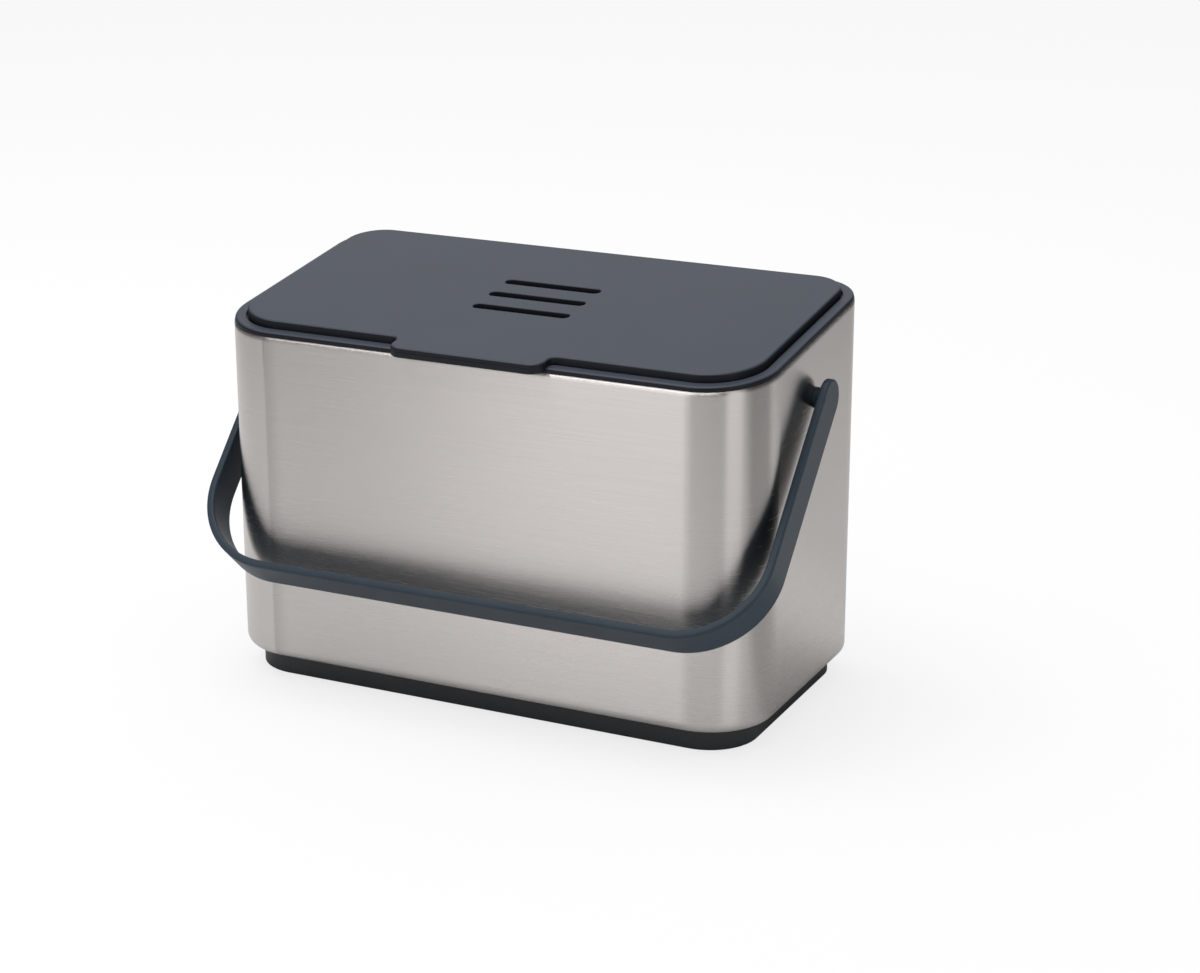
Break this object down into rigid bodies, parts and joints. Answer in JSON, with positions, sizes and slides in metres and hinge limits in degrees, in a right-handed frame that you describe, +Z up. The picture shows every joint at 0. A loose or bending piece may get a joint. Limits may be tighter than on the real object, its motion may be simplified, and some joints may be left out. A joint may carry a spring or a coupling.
{
  "type": "food waste caddy",
  "caption": "Countertop food waste caddy: rounded brushed steel bin with a sloping top, lift-out bucket, hinged vented lid with a filter, and a swinging bail handle.",
  "frame": {"origin": "middle of the resting face under the base mat", "axes": "+Z up, +X to the right seen from the front, -Y towards the front with the lift tab"},
  "size_m": [0.3168, 0.1752, 0.2108],
  "materials": {
    "brushed_steel": "satin, brushed sideways",
    "slate_plastic": "satin moulded",
    "dark_plastic": "satin moulded",
    "bucket_plastic": "smooth moulded",
    "soft_rubber": "matt",
    "charcoal_felt": "felted",
    "zinc_steel": "zinc plated"
  },
  "bodies": {
    "body": {"steel_shell": "brushed_steel", "top_rim": "slate_plastic", "base_tray": "dark_plastic", "clamp_ring": "dark_plastic", "base_screws": "zinc_steel", "base_mat": "soft_rubber", "inner_bucket": "bucket_plastic", "boss_nuts": "zinc_steel", "hinge_pin_left": "zinc_steel", "pivot_boss_left": "slate_plastic", "backing_plate_left": "zinc_steel", "hinge_pin_right": "zinc_steel", "pivot_boss_right": "slate_plastic", "backing_plate_right": "zinc_steel"},
    "lid": {"lid_panel": "slate_plastic", "lid_liner": "dark_plastic", "lid_seal": "soft_rubber", "lid_screws": "zinc_steel", "filter_pad": "charcoal_felt", "filter_cover": "dark_plastic"},
    "handle": {"handle_bail": "slate_plastic", "pivot_stud_left": "zinc_steel", "pivot_stud_right": "zinc_steel", "pivot_washers": "zinc_steel", "pivot_screws": "zinc_steel"}
  },
  "joints": [
    {"name": "lid_hinge", "type": "hinge", "parent": "body", "child": "lid", "pos_m": [0, 0.0736, 0.20657], "axis": [-1, 0, 0], "range_deg": [0, 105]},
    {"name": "handle_swing", "type": "hinge", "parent": "body", "child": "handle", "pos_m": [0, 0.0048, 0.166], "axis": [-1, 0, 0], "range_deg": [0, 279]}
  ]
}
